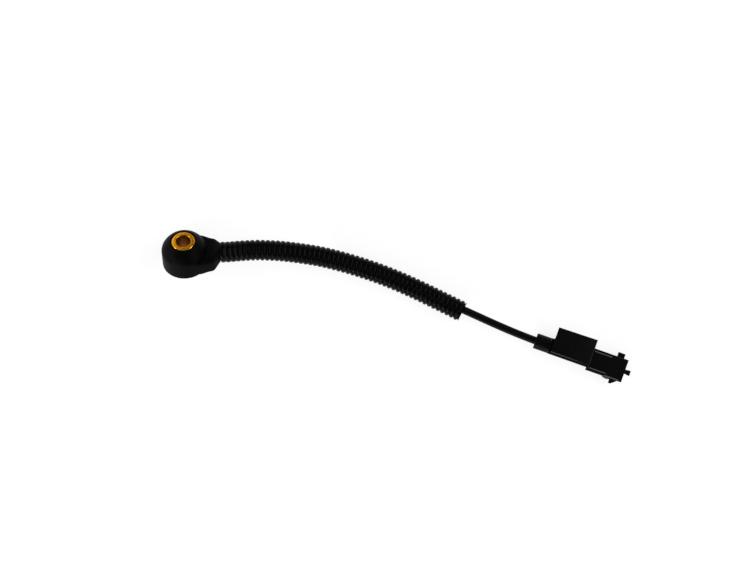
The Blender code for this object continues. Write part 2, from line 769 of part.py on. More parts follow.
def make_rear_cap(material, frame):
    """The collar behind the housing, with the plug that presses on the seal."""
    bore = CABLE_RADIUS + CLEARANCE
    profile = [
        (bore, 0.0),
        (CAP_RADIUS - CAP_EDGE, 0.0),
        (CAP_RADIUS, CAP_EDGE),
        (CAP_RADIUS, CAP_LENGTH),
        (CAP_PLUG_RADIUS, CAP_LENGTH),
        (CAP_PLUG_RADIUS, CAP_LENGTH + CAP_PLUG_LENGTH),
        (bore, CAP_LENGTH + CAP_PLUG_LENGTH),
    ]
    mesh = turned_along("connector_rear_cap", profile, bored=True)
    add_object("connector_rear_cap", mesh, material, frame)


def make_cable_seal(material, frame):
    """The rubber ring between the cable and the housing."""
    bore = CABLE_RADIUS + CLEARANCE
    outer = REAR_BORE_RADIUS - CLEARANCE
    start = CAP_LENGTH + CAP_PLUG_LENGTH + CLEARANCE
    lip = SEAL_LENGTH / 5
    profile = [(bore, start)]
    for i in range(6):
        profile.append((outer - (SEAL_GROOVE if i % 2 else 0.0), start + i * lip))
    profile.append((bore, start + SEAL_LENGTH))
    add_object("cable_seal", turned_along("cable_seal", profile, bored=True), material, frame)


def terminal_sides():
    """The distance of each terminal from the connector's axis."""
    return [TERMINAL_CENTRE + side * TERMINAL_PITCH / 2 for side in (-1, 1)]


def make_terminals(material, frame):
    """The two pins, each a crimp barrel with a flat blade."""
    for number, side in enumerate(terminal_sides(), 1):
        name = "terminal_pin_%d" % number
        stop = BARREL_START + BARREL_LENGTH
        barrel = [
            (CORE_RADIUS + CLEARANCE, BARREL_START),
            (BARREL_RADIUS, BARREL_START),
            (BARREL_RADIUS, stop),
            (CORE_RADIUS + CLEARANCE, stop),
        ]
        mesh = turned_along(name, barrel, sides=16, bored=True)
        mesh.transform(Matrix.Translation((0, side, 0)))
        pin = add_object(name, mesh, material, frame)
        half_width, half_thickness = PIN_WIDTH / 2, PIN_THICKNESS / 2
        tip = SHROUD_END - PIN_RECESS
        rings = []
        for x, share in ((stop - OVERRUN, 1.0), (tip - PIN_TAPER, 1.0), (tip, 0.5)):
            corners = ((1, 1), (-1, 1), (-1, -1), (1, -1))
            rings.append(
                [
                    Vector((x, side + y * half_width * share, z * half_thickness * share))
                    for y, z in corners
                ]
            )
        blade = add_helper(name + "_blade", loft(name + "_blade", rings), frame)
        combine(pin, blade, "UNION")
        half_width, half_thickness = BLADE_ROOT_WIDTH / 2, BLADE_ROOT_THICKNESS / 2
        root = block(
            name + "_root",
            (stop - BLADE_ROOT_OVERLAP, side - half_width, -half_thickness),
            (stop + OVERRUN, side + half_width, half_thickness),
        )
        combine(pin, add_helper(name + "_root", root, frame), "UNION")


def make_connector_cores(materials, frame):
    """The two cores from the cable's end into the crimp barrels."""
    start = CABLE_END_DISTANCE + CLEARANCE
    mouth = BARREL_START - CLEARANCE
    colours = (materials["core_red"], materials["core_white"])
    for number, (side, colour) in enumerate(zip(terminal_sides(), colours), 1):
        line = core_bend((start, math.copysign(CORE_SIDE, side), 0), (mouth, side, 0))
        line += [Vector((BARREL_START + CORE_IN_BARREL * share, side, 0)) for share in (0.5, 1)]
        make_core_wire("connector_core_wire_%d" % number, line, colour, frame)


def pin_holes(owner, start, stop, frame):
    """Cuts the two holes that the blades pass through."""
    half_width = PIN_WIDTH / 2 + CLEARANCE
    half_thickness = PIN_THICKNESS / 2 + CLEARANCE
    for number, side in enumerate(terminal_sides(), 1):
        name = "%s_pin_hole_%d" % (owner.name, number)
        mesh = block(
            name,
            (start, side - half_width, -half_thickness),
            (stop, side + half_width, half_thickness),
        )
        combine(owner, add_helper(name, mesh, frame), "DIFFERENCE")


def shroud_inside(margin):
    """The low and high corners of the shroud's inside across the axis, less a margin."""
    low = (SHROUD_LOW + SHROUD_WALL + margin, -SHROUD_HALF_THICKNESS + SHROUD_WALL + margin)
    high = (SHROUD_HIGH - SHROUD_WALL - margin, SHROUD_HALF_THICKNESS - SHROUD_WALL - margin)
    return low, high


def make_terminal_lock(material, frame):
    """The plate on the shroud's floor that holds the two pins."""
    low, high = shroud_inside(CLEARANCE)
    start = SHROUD_FLOOR + CLEARANCE
    corner = SHROUD_CORNER - SHROUD_WALL / 2
    mesh = long_block(
        "terminal_lock", (start, *low), (start + LOCK_THICKNESS, *high), corner
    )
    plate = add_object("terminal_lock", mesh, material, frame)
    pin_holes(plate, start - OVERRUN, start + LOCK_THICKNESS + OVERRUN, frame)


def clip_floor():
    """The height at which the clip pocket meets the body's upper face."""
    return BODY_HALF_THICKNESS - CLIP_SINK


def housing_shapes():
    """What the connector housing is joined from, after its body."""
    thick = SHROUD_HALF_THICKNESS
    yield long_block(
        "rear_rim",
        (CAP_LENGTH + CLEARANCE, REAR_RIM_LOW, -BODY_HALF_THICKNESS - CLEARANCE / 2),
        (CAP_LENGTH + CLEARANCE + REAR_RIM_LENGTH, REAR_RIM_HIGH, BODY_HALF_THICKNESS + CLEARANCE / 2),
        BODY_CORNER,
    )
    yield long_block(
        "shroud",
        (SHROUD_START - OVERRUN / 2, SHROUD_LOW, -thick),
        (SHROUD_END, SHROUD_HIGH, thick),
        SHROUD_CORNER,
        segments=4,
    )
    yield long_block(
        "shroud_flange",
        (SHROUD_START - FLANGE_THICKNESS, SHROUD_LOW - JOIN_STEP, -thick + JOIN_STEP),
        (SHROUD_START + 2 * JOIN_STEP, SHROUD_HIGH + JOIN_STEP, thick + FLANGE_PROUD),
        SHROUD_CORNER,
        segments=4,
    )
    rings = []
    for x, flare in ((CLIP_START, 0.0), (CLIP_END, CLIP_FLARE)):
        half_width = (CLIP_HIGH + flare - CLIP_LOW) / 2
        middle = Vector((x, CLIP_LOW + half_width, clip_floor() + CLIP_THICKNESS / 2))
        outline = rounded_outline(half_width, CLIP_THICKNESS / 2, CLIP_CORNER, 2)
        rings.append([middle + Vector((0, y, z)) for y, z in outline])
    yield loft("clip_pocket", rings)
    rails = (SHROUD_LOW + RAIL_LOW_INSET, SHROUD_HIGH - RAIL_HIGH_INSET)
    for number, middle in enumerate(rails, 1):
        yield block(
            "rail_%d" % number,
            (RAIL_START, middle - RAIL_WIDTH / 2, thick - 2 * RAIL_HEIGHT),
            (RAIL_END, middle + RAIL_WIDTH / 2, thick + RAIL_HEIGHT),
            RAIL_HEIGHT / 2,
        )
    yield block(
        "locking_nub",
        (NUB_START, SHROUD_HIGH - SHROUD_WALL / 2, -NUB_HALF_THICKNESS),
        (NUB_END, SHROUD_HIGH + NUB_HEIGHT, NUB_HALF_THICKNESS),
        LUG_CORNER,
    )
    root = SHROUD_LOW + SHROUD_WALL / 2
    wedge = [
        (RAMP_HEEL_START, root),
        (RAMP_END, root),
        (RAMP_END, SHROUD_LOW),
        (RAMP_START + RAMP_FLAT, SHROUD_LOW - RAMP_HEIGHT),
        (RAMP_START, SHROUD_LOW - RAMP_HEIGHT),
        (RAMP_START, SHROUD_LOW - RAMP_HEEL_FALL),
        (RAMP_HEEL_PEAK, SHROUD_LOW - RAMP_HEEL_HEIGHT),
        (RAMP_HEEL_START, SHROUD_LOW),
    ]
    yield loft(
        "locking_ramp",
        [[Vector((x, y, z)) for x, y in wedge] for z in (-NUB_HALF_THICKNESS, NUB_HALF_THICKNESS)],
    )
    tongue_end = SHROUD_END + TONGUE_REACH
    yield block(
        "tongue_neck",
        (SHROUD_END - OVERRUN, TONGUE_LOW + TONGUE_NECK_INSET, TONGUE_ROOT + JOIN_STEP),
        (tongue_end - OVERRUN, TONGUE_HIGH - TONGUE_NECK_INSET, thick - JOIN_STEP),
    )
    yield block(
        "tongue_head",
        (tongue_end - TONGUE_HEAD_LENGTH, TONGUE_LOW, TONGUE_ROOT),
        (tongue_end, TONGUE_HIGH, thick),
        LUG_CORNER,
    )


def housing_cuts():
    """What is cut out of the connector housing."""
    bore_start = CAP_LENGTH - OVERRUN
    bore = [
        (TIP_RADIUS, bore_start),
        (REAR_BORE_RADIUS, bore_start),
        (REAR_BORE_RADIUS, CELL_START + OVERRUN),
        (TIP_RADIUS, CELL_START + OVERRUN),
    ]
    yield turned_along("rear_bore", bore)
    first, second = terminal_sides()
    yield block(
        "terminal_cell",
        (CELL_START, first - CELL_SIDE, -CELL_HALF_THICKNESS),
        (CELL_END, second + CELL_SIDE, CELL_HALF_THICKNESS),
    )
    low, high = shroud_inside(0.0)
    corner = SHROUD_CORNER - SHROUD_WALL / 2
    yield long_block("shroud_inside", (SHROUD_FLOOR, *low), (SHROUD_END + OVERRUN, *high), corner)
    middle = (CLIP_LOW + CLIP_HIGH) / 2
    level = clip_floor() + CLIP_THICKNESS / 2 + CLIP_SINK / 2
    yield block(
        "clip_slot",
        (CLIP_START - OVERRUN, middle - CLIP_SLOT_WIDTH / 2, level - CLIP_SLOT_THICKNESS / 2),
        (
            SHROUD_START - FLANGE_THICKNESS - OVERRUN,
            middle + CLIP_SLOT_WIDTH / 2,
            level + CLIP_SLOT_THICKNESS / 2,
        ),
    )


def make_connector_housing(material, frame):
    """The moulded housing: body, shroud with its flange and rails, clip pocket and locks."""
    body = long_block(
        "connector_housing",
        (CAP_LENGTH + CLEARANCE + REAR_RIM_LENGTH / 2, BODY_LOW, -BODY_HALF_THICKNESS),
        (SHROUD_START + OVERRUN, BODY_HIGH, BODY_HALF_THICKNESS),
        BODY_CORNER,
    )
    housing = add_object("connector_housing", body, material, frame)
    for mesh in housing_shapes():
        combine(housing, add_helper(mesh.name, mesh, frame), "UNION")
    for mesh in housing_cuts():
        combine(housing, add_helper(mesh.name, mesh, frame), "DIFFERENCE")
    pin_holes(housing, CELL_END - OVERRUN, SHROUD_FLOOR + OVERRUN, frame)


def make_materials():
    """The materials by name."""
    return {
        "black_plastic": principled("black_plastic", (0.012, 0.012, 0.014), 0.42, 0.0),
        "conduit_plastic": principled("conduit_plastic", (0.014, 0.014, 0.017), 0.5, 0.0),
        "cable_jacket": principled("cable_jacket", (0.013, 0.013, 0.013), 0.4, 0.0),
        "bush_metal": principled("bush_metal", (0.83, 0.55, 0.13), 0.35, 1.0),
        "steel": principled("steel", (0.55, 0.56, 0.58), 0.35, 1.0),
        "brass": principled("brass", (0.78, 0.6, 0.28), 0.35, 1.0),
        "pin_metal": principled("pin_metal", (0.8, 0.8, 0.78), 0.3, 1.0),
        "ceramic": principled("ceramic", (0.62, 0.6, 0.55), 0.6, 0.0),
        "insulation": principled("insulation", (0.7, 0.55, 0.3), 0.5, 0.0),
        "rubber": principled("rubber", (0.35, 0.08, 0.05), 0.7, 0.0),
        "lock_plastic": principled("lock_plastic", (0.55, 0.55, 0.52), 0.5, 0.0),
        "resistor_body": principled("resistor_body", (0.35, 0.5, 0.6), 0.45, 0.0),
        "core_red": principled("core_red", (0.5, 0.04, 0.03), 0.5, 0.0),
        "core_white": principled("core_white", (0.75, 0.75, 0.72), 0.5, 0.0),
    }


def build():
    """Makes the whole sensor."""
    clear_scene()
    materials = make_materials()
    head = head_frame()
    make_bush(materials["bush_metal"], head)
    make_head_housing(materials["black_plastic"], head)
    make_stack(materials, head)
    make_resistor(materials["resistor_body"], head)
    make_head_cores(materials, head)
    make_conduit(materials["conduit_plastic"])
    make_cable(materials["cable_jacket"])
    connector = connector_frame()
    make_connector_housing(materials["black_plastic"], connector)
    make_rear_cap(materials["black_plastic"], connector)
    make_cable_seal(materials["rubber"], connector)
    make_terminals(materials["pin_metal"], connector)
    make_terminal_lock(materials["lock_plastic"], connector)
    make_connector_cores(materials, connector)


build()
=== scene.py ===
"""Engine knock sensor with its fixed lead and plug-in connector, lying on a pale surface."""

import math

import bmesh
import bpy
from mathutils import Matrix, Vector


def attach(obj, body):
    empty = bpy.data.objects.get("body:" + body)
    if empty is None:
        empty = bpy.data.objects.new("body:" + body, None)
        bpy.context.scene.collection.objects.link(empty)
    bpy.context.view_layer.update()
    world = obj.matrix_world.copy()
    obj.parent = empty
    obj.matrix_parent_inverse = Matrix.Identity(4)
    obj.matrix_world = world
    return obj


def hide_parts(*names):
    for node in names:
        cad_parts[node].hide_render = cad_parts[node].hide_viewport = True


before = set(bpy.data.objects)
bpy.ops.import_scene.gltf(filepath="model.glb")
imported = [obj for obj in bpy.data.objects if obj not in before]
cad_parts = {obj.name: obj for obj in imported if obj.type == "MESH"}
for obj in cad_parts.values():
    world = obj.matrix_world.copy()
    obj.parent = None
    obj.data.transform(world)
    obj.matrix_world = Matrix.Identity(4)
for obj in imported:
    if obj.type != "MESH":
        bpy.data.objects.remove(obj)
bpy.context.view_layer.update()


# ## Surface, light and view
# The sensor lies on a plain pale sheet over a deep white plinth, seen from straight above. Long
# soft lamps stand low at its sides, others before and behind it, so moulded edges catch them.
# Places and sizes of lamps, sheet and camera are in metres, and the lamps' power is in watts.

MM = 0.001
SURFACE_HEIGHT = -7.9004 * MM
VIEW_CENTRE = (109.32 * MM, -12.27 * MM)
PICTURE_WIDTH = 756
DOTS_PER_MM = 1.76
VIEW_WIDTH = PICTURE_WIDTH / DOTS_PER_MM * MM
CAMERA_HEIGHT = 1.2
CAMERA_REACH = 20.0
SHEET_HALF = 6.0
SHEET_DROP = 0.00005
PLINTH_DEPTH = 3.0

camera_data = bpy.data.cameras.new("view")
camera_data.type = "ORTHO"
camera_data.ortho_scale = VIEW_WIDTH
camera_data.clip_end = CAMERA_REACH
camera = bpy.data.objects.new("view", camera_data)
camera.location = (*VIEW_CENTRE, CAMERA_HEIGHT)
bpy.context.scene.collection.objects.link(camera)
bpy.context.scene.camera = camera
bpy.context.scene.view_settings.view_transform = "Standard"


def lamp(name, place, size, power, target):
    """A broad soft lamp that faces a point."""
    data = bpy.data.lights.new(name, "AREA")
    data.shape = "RECTANGLE"
    data.size, data.size_y = size
    data.energy = power
    thing = bpy.data.objects.new(name, data)
    thing.location = place
    aim = Vector(target) - Vector(place)
    thing.rotation_euler = aim.to_track_quat("-Z", "Y").to_euler()
    bpy.context.scene.collection.objects.link(thing)


centre = (*VIEW_CENTRE, 0.0)
lamp("left_lamp", (-1.1, -0.1, 0.45), (1.8, 0.3), 8.5, centre)
lamp("right_lamp", (1.05, 0.1, 0.95), (2.0, 0.3), 9.5, centre)
lamp("near_lamp", (-0.5, -1.2, 0.4), (1.2, 0.25), 7.5, centre)
lamp("far_lamp", (-0.8, 1.5, 0.3), (0.9, 0.5), 2.0, centre)

# a grey room, a little lighter and cooler overhead
world = bpy.data.worlds.new("studio")
bpy.context.scene.world = world
world.use_nodes = True
nodes, links = world.node_tree.nodes, world.node_tree.links
nodes.clear()
ways = nodes.new("ShaderNodeTexCoord")
heights = nodes.new("ShaderNodeSeparateXYZ")
links.new(ways.outputs["Generated"], heights.inputs["Vector"])
room = nodes.new("ShaderNodeValToRGB")
room.color_ramp.elements[0].position = 0.05
room.color_ramp.elements[0].color = (0.2, 0.2, 0.2, 1.0)
room.color_ramp.elements[1].position = 0.5
room.color_ramp.elements[1].color = (0.22, 0.23, 0.25, 1.0)
links.new(heights.outputs["Z"], room.inputs["Fac"])
walls = nodes.new("ShaderNodeBackground")
links.new(room.outputs["Color"], walls.inputs["Color"])
links.new(walls.outputs[0], nodes.new("ShaderNodeOutputWorld").inputs["Surface"])


def seen_plainly(nodes, links):
    """One for rays from the view, off glossy things or through clear ones, nought for the rest."""
    path = nodes.new("ShaderNodeLightPath")
    largest = path.outputs["Is Camera Ray"]
    for kind in ("Is Glossy Ray", "Is Transmission Ray"):
        either = nodes.new("ShaderNodeMath")
        either.operation = "MAXIMUM"
        links.new(largest, either.inputs[0])
        links.new(path.outputs[kind], either.inputs[1])
        largest = either.outputs[0]
    return largest


def white_surface(name, tone, strength):
    """A matt white for the surroundings: its own tone under light, and a glow where it is seen."""
    made = bpy.data.materials.new(name)
    made.use_nodes = True
    nodes, links = made.node_tree.nodes, made.node_tree.links
    matt = nodes["Principled BSDF"]
    matt.inputs["Base Color"].default_value = (tone, tone, tone, 1.0)
    matt.inputs["Roughness"].default_value = 0.9
    matt.inputs["Specular IOR Level"].default_value = 0.1
    glow = nodes.new("ShaderNodeEmission")
    glow.inputs["Strength"].default_value = strength
    none = nodes.new("ShaderNodeEmission")
    none.inputs["Strength"].default_value = 0.0
    seen_glow = nodes.new("ShaderNodeMixShader")
    links.new(seen_plainly(nodes, links), seen_glow.inputs["Fac"])
    links.new(none.outputs[0], seen_glow.inputs[1])
    links.new(glow.outputs[0], seen_glow.inputs[2])
    both = nodes.new("ShaderNodeAddShader")
    links.new(matt.outputs[0], both.inputs[0])
    links.new(seen_glow.outputs[0], both.inputs[1])
    links.new(both.outputs[0], nodes["Material Output"].inputs["Surface"])
    return made


def surrounding(name, points, faces, material):
    """A part of the surroundings under the sensor, from points round the view's centre."""
    mesh = bpy.data.meshes.new(name)
    mesh.from_pydata(points, [], faces)
    mesh.materials.append(material)
    thing = bpy.data.objects.new(name, mesh)
    thing.location = (*VIEW_CENTRE, SURFACE_HEIGHT - SHEET_DROP)
    bpy.context.scene.collection.objects.link(thing)


square = [(-1, -1), (1, -1), (1, 1), (-1, 1)]
rim = [(x * SHEET_HALF, y * SHEET_HALF, 0.0) for x, y in square]
foot = [(x * SHEET_HALF, y * SHEET_HALF, -PLINTH_DEPTH) for x, y in square]
surrounding("sheet", rim, [(0, 1, 2, 3)], white_surface("white_paper", 0.34, 0.8))
sides = [(i, (i + 1) % 4, (i + 1) % 4 + 4, i + 4) for i in range(4)]
surrounding("plinth", rim + foot, [*sides, (7, 6, 5, 4)], white_surface("white_board", 0.8, 1.0))


# ## Mounting bush
# A turned steel sleeve with a wide foot, zinc plated and yellow passivated, which is why it looks
# golden and a little cloudy. The bolt clamps it between its two faces; its bore is coloured a
# darker, rougher brown, which is painted shade inside the deep bore.

HEAD_ROLL = math.radians(39)
HEAD_LIFT = math.radians(5.5)
BORE_RADIUS = 4.25 * MM
BUSH_RADIUS = 6.7 * MM
BUSH_HEIGHT = 18.4 * MM
FOOT_RADIUS = 9.4 * MM
FOOT_HEIGHT = 2.0 * MM
BORE_CHAMFER = 0.24 * MM
BORE_MARGIN = 0.05 * MM
RIM_CHAMFER = 0.3 * MM
FACE_FALL = 0.12 * MM
TURNED_SIDES = 96

head_place = Matrix.Rotation(-HEAD_LIFT, 4, "Y") @ Matrix.Rotation(-HEAD_ROLL, 4, "X")


def softened(profile, looped=True, steps=4):
    """A section with its corners rounded: each corner is its two coordinates and its rounding."""
    made = []
    count = len(profile)
    for i, (x, y, radius) in enumerate(profile):
        if radius == 0 or (not looped and i in (0, count - 1)):
            made.append((x, y))
            continue
        corner = Vector((x, y))
        before = Vector(profile[i - 1][:2]) - corner
        after = Vector(profile[(i + 1) % count][:2]) - corner
        first = corner + before.normalized() * radius
        last = corner + after.normalized() * radius
        for k in range(steps + 1):
            t = k / steps
            point = first * (1 - t) ** 2 + corner * (2 * t * (1 - t)) + last * t**2
            made.append((point.x, point.y))
    return made


def turned_rings(section, sides):
    """Rings of points round the Z axis, from a section of radius and height."""
    turns = [2 * math.pi * i / sides for i in range(sides)]
    return [[Vector((r * math.cos(t), r * math.sin(t), z)) for t in turns] for r, z in section]


def add_skin(work, rings, looped=False):
    """Adds a skin over rings to a mesh in the making, its ends capped or joined to each other."""
    made = [[work.verts.new(point) for point in ring] for ring in rings]
    pairs = list(zip(made, made[1:]))
    if looped:
        pairs.append((made[-1], made[0]))
    faces = []
    for near, far in pairs:
        count = len(near)
        for i in range(count):
            j = (i + 1) % count
            faces.append(work.faces.new((near[i], near[j], far[j], far[i])))
    if not looped:
        faces.append(work.faces.new(made[0]))
        faces.append(work.faces.new(made[-1]))
    return faces


def piece(name, work, place, *materials, sharp=38):
    """Turns a mesh in the making into a piece that rides on the sensor's one body.

    Its edges show as sharp from the angle given in degrees.
    """
    bmesh.ops.recalc_face_normals(work, faces=work.faces)
    mesh = bpy.data.meshes.new(name)
    work.to_mesh(mesh)
    work.free()
    mesh.transform(place)
    mesh.shade_smooth()
    mesh.set_sharp_from_angle(angle=math.radians(sharp))
    for material in materials:
        mesh.materials.append(material)
    thing = bpy.data.objects.new(name, mesh)
    bpy.context.scene.collection.objects.link(thing)
    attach(thing, "root")
    return thing


def surface_finish(name, colour, second, cloud, rough, grain, depth, metallic=0.0, specular=0.5):
    """A finish whose colour drifts between two tones in clouds, with a fine grain that stands up.

    The cloud's size and the grain's size and depth are in metres. The roughness drifts along with
    the clouds, between its two values.
    """
    made = bpy.data.materials.new(name)
    made.use_nodes = True
    nodes, links = made.node_tree.nodes, made.node_tree.links
    shader = nodes["Principled BSDF"]
    shader.inputs["Metallic"].default_value = metallic
    shader.inputs["Specular IOR Level"].default_value = specular
    where = nodes.new("ShaderNodeTexCoord")
    clouds = nodes.new("ShaderNodeTexNoise")
    clouds.inputs["Scale"].default_value = 1 / cloud
    clouds.inputs["Detail"].default_value = 4.0
    links.new(where.outputs["Object"], clouds.inputs["Vector"])
    tones = nodes.new("ShaderNodeValToRGB")
    tones.color_ramp.elements[0].position = 0.35
    tones.color_ramp.elements[0].color = (*colour, 1.0)
    tones.color_ramp.elements[1].position = 0.65
    tones.color_ramp.elements[1].color = (*second, 1.0)
    links.new(clouds.outputs["Fac"], tones.inputs["Fac"])
    links.new(tones.outputs["Color"], shader.inputs["Base Color"])
    spread = nodes.new("ShaderNodeMapRange")
    spread.inputs["To Min"].default_value = rough[0]
    spread.inputs["To Max"].default_value = rough[1]
    links.new(clouds.outputs["Fac"], spread.inputs["Value"])
    links.new(spread.outputs["Result"], shader.inputs["Roughness"])
    fine = nodes.new("ShaderNodeTexNoise")
    fine.inputs["Scale"].default_value = 1 / grain
    fine.inputs["Detail"].default_value = 3.0
    links.new(where.outputs["Object"], fine.inputs["Vector"])
    bump = nodes.new("ShaderNodeBump")
    bump.inputs["Distance"].default_value = depth
    bump.inputs["Strength"].default_value = 0.6
    links.new(fine.outputs["Fac"], bump.inputs["Height"])
    links.new(bump.outputs["Normal"], shader.inputs["Normal"])
    return made


bush_plating = surface_finish(
    "yellow_plating", (0.78, 0.3, 0.01), (0.9, 0.4, 0.018), 1.6 * MM, (0.2, 0.32), 0.5 * MM,
    0.025 * MM, metallic=1.0,
)
# the bore's darker, rougher brown is painted shade inside the deep, tilted bore
painted_bore_shade = surface_finish(
    "bore_painted_shade", (0.12, 0.03, 0.003), (0.42, 0.15, 0.01), 0.9 * MM, (0.35, 0.55), 0.6 * MM,
    0.08 * MM, metallic=1.0,
)

bush_section = softened(
    (
        (BORE_RADIUS + BORE_CHAMFER, 0.0, 0.08 * MM),
        (FOOT_RADIUS, 0.0, 0.25 * MM),
        (FOOT_RADIUS, FOOT_HEIGHT, 0.25 * MM),
        (BUSH_RADIUS, FOOT_HEIGHT, 0.1 * MM),
        (BUSH_RADIUS, BUSH_HEIGHT - RIM_CHAMFER - FACE_FALL, 0.12 * MM),
        (BUSH_RADIUS - RIM_CHAMFER, BUSH_HEIGHT - FACE_FALL, 0.12 * MM),
        (BORE_RADIUS + BORE_CHAMFER, BUSH_HEIGHT, 0.12 * MM),
        (BORE_RADIUS, BUSH_HEIGHT - BORE_CHAMFER, 0.12 * MM),
        (BORE_RADIUS, BORE_CHAMFER, 0.08 * MM),
    )
)
work = bmesh.new()
for face in add_skin(work, turned_rings(bush_section, TURNED_SIDES), looped=True):
    reach = max(math.hypot(vert.co.x, vert.co.y) for vert in face.verts)
    # the bore's faces take the darker brown, which is painted shade
    if reach < BORE_RADIUS + BORE_MARGIN:
        face.material_index = 1
bush = piece("turned_bush", work, head_place, bush_plating, painted_bore_shade)
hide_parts("mounting_bush")


# ## Head housing
# The casing is one glass-filled nylon moulding, dull black, over the bush and the ceramic stack.
# Its dome ends in a collar round the bush, and its neck runs out to the conduit's spigot.

BODY_RADIUS = 13.0 * MM
BODY_WALL = 1.3 * MM
BODY_FOOT = 0.15 * MM
SHOULDER_HEIGHT = 11.4 * MM
COLLAR_RADIUS = 7.7 * MM
COLLAR_HEIGHT = 18.1 * MM
DOME_BULGE = 0.6 * MM
RUNNING_GAP = 0.3 * MM
NECK_AXIS_HEIGHT = 8.3 * MM
NECK_END = 20.6 * MM
NECK_STATIONS = (
    # distance from the bush, half width, lowest height, highest height, corner; in millimetres
    (3.0, 11.6, 0.5, 11.3, 1.6),
    (10.0, 10.7, 0.4, 11.4, 2.0),
    (13.9, 9.45, 0.4, 11.4, 2.8),
    (17.0, 8.6, 0.4, 11.5, 2.8),
    (20.6, 5.1, 3.2, 13.4, 5.0),
)
NECK_EASING = 0.8  # millimetres before and after a station over which its turn is eased
NECK_STEPS = 44
SPIGOT_END = 25.6 * MM
SPIGOT_RADIUS = 4.3 * MM
CABLE_RADIUS = 2.2 * MM
CABLE_HOLE = (14.4 * MM, 26.6 * MM)
CONTACT_ROOM = ((9.4 * MM, -5.2 * MM, 2.4 * MM), (15.4 * MM, 5.2 * MM, 10.4 * MM))
AXIS_GAP = 0.01 * MM
OVERCUT = 1 * MM
CASING_SIDES = 120
BAR_SIDES = 48
DOME_STEPS = 12
HOLLOW_STEPS = 8
# how far in from the wall, and how far up from the foot or down from the shoulder, in millimetres
FOOT_EASING = ((0.4, 0.0), (0.15, 0.15), (0.0, 0.35))
SHOULDER_EASING = ((0.0, 0.9), (0.05, 0.4))
SHOULDER_INSET = 0.12 * MM
COLLAR_ROUNDING = 0.3 * MM
CASING_SHARP = math.radians(32)

casing_plastic = surface_finish(
    "casing_nylon", (0.0006, 0.0006, 0.0006), (0.0011, 0.0011, 0.0011), 4 * MM, (0.44, 0.56),
    0.22 * MM, 0.012 * MM, specular=0.04,
)


def dome_section(foot, top, steps):
    """The dome's slightly bulged section, from its foot up to its rim."""
    foot, top = Vector(foot), Vector(top)
    run = top - foot
    outward = Vector((run.y, -run.x)).normalized()
    line = []
    for i in range(steps + 1):
        t = i / steps
        line.append(foot + run * t + outward * DOME_BULGE * math.sin(math.pi * t))
    return line


def rounded_outline(low, high, corner, segments=8):
    """A rectangle between two points of a plane, its corners rounded."""
    middle = ((low[0] + high[0]) / 2, (low[1] + high[1]) / 2)
    half = ((high[0] - low[0]) / 2, (high[1] - low[1]) / 2)
    points = []
    for quarter, (side_a, side_b) in enumerate(((1, 1), (-1, 1), (-1, -1), (1, -1))):
        for i in range(segments + 1):
            turn = (quarter + i / segments) * math.pi / 2
            a = middle[0] + side_a * (half[0] - corner) + corner * math.cos(turn)
            b = middle[1] + side_b * (half[1] - corner) + corner * math.sin(turn)
            points.append((a, b))
    return points


def along_x(distance, outline):
    """An outline of width and height, set square to the X axis."""
    return [Vector((distance, a, b)) for a, b in outline]


def helper(name, work):
    """A shape of the head that joins or cuts another, and isn't seen itself."""
    bmesh.ops.recalc_face_normals(work, faces=work.faces)
    mesh = bpy.data.meshes.new(name)
    work.to_mesh(mesh)
    work.free()
    mesh.transform(head_place)
    thing = bpy.data.objects.new(name, mesh)
    bpy.context.scene.collection.objects.link(thing)
    return thing


def carve(thing, steps):
    """Joins shapes to a piece and cuts others out of it, then keeps the result."""
    for operation, shape in steps:
        step = thing.modifiers.new(shape.name, "BOOLEAN")
        step.operation = operation
        step.solver = "EXACT"
        step.object = shape
    shown = bpy.context.evaluated_depsgraph_get()
    mesh = bpy.data.meshes.new_from_object(thing.evaluated_get(shown))
    thing.modifiers.clear()
    thing.data = mesh
    for _, shape in steps:
        bpy.data.objects.remove(shape)


# the casing's outside: the eased foot, the wall, the eased shoulder, the dome and the collar
dome = dome_section((BODY_RADIUS, SHOULDER_HEIGHT), (COLLAR_RADIUS, COLLAR_HEIGHT), DOME_STEPS)
outside = [(AXIS_GAP, BODY_FOOT)]
outside += [(BODY_RADIUS - inset * MM, BODY_FOOT + rise * MM) for inset, rise in FOOT_EASING]
for inset, fall in SHOULDER_EASING:
    outside.append((BODY_RADIUS - inset * MM, SHOULDER_HEIGHT - fall * MM))
outside.append((dome[0].x - SHOULDER_INSET, dome[0].y))
outside += [tuple(point) for point in dome[1:-1]]
collar = ((*dome[-2], 0.0), (*dome[-1], COLLAR_ROUNDING), (AXIS_GAP, COLLAR_HEIGHT, 0.0))
outside += softened(collar, looped=False)[1:]
work = bmesh.new()
add_skin(work, turned_rings(outside, CASING_SIDES))
casing = piece("head_casing", work, head_place, casing_plastic)

neck_start, neck_stop = NECK_STATIONS[0][0], NECK_STATIONS[-1][0]


def neck_value(distance, column):
    """One measure of the neck at a distance from the bush, with its turns eased."""
    total = 0.0
    shifts = (-1, -0.5, 0, 0.5, 1)
    for shift in shifts:
        x = min(max(distance + shift * NECK_EASING, neck_start), neck_stop)
        for near, far in zip(NECK_STATIONS, NECK_STATIONS[1:]):
            if x <= far[0]:
                share = (x - near[0]) / (far[0] - near[0])
                total += near[column] + (far[column] - near[column]) * share
                break
    return total / len(shifts)


# the neck runs through its eased stations, and its end face keeps its full measures
rings = []
for i in range(NECK_STEPS + 1):
    distance = neck_start + (neck_stop - neck_start) * i / NECK_STEPS
    if i == NECK_STEPS:
        width, low, high, corner = NECK_STATIONS[-1][1:]
    else:
        width, low, high, corner = (neck_value(distance, k) for k in (1, 2, 3, 4))
    outline = rounded_outline((-width * MM, low * MM), (width * MM, high * MM), corner * MM)
    rings.append(along_x(distance * MM, outline))
work = bmesh.new()
add_skin(work, rings)
neck = helper("neck", work)


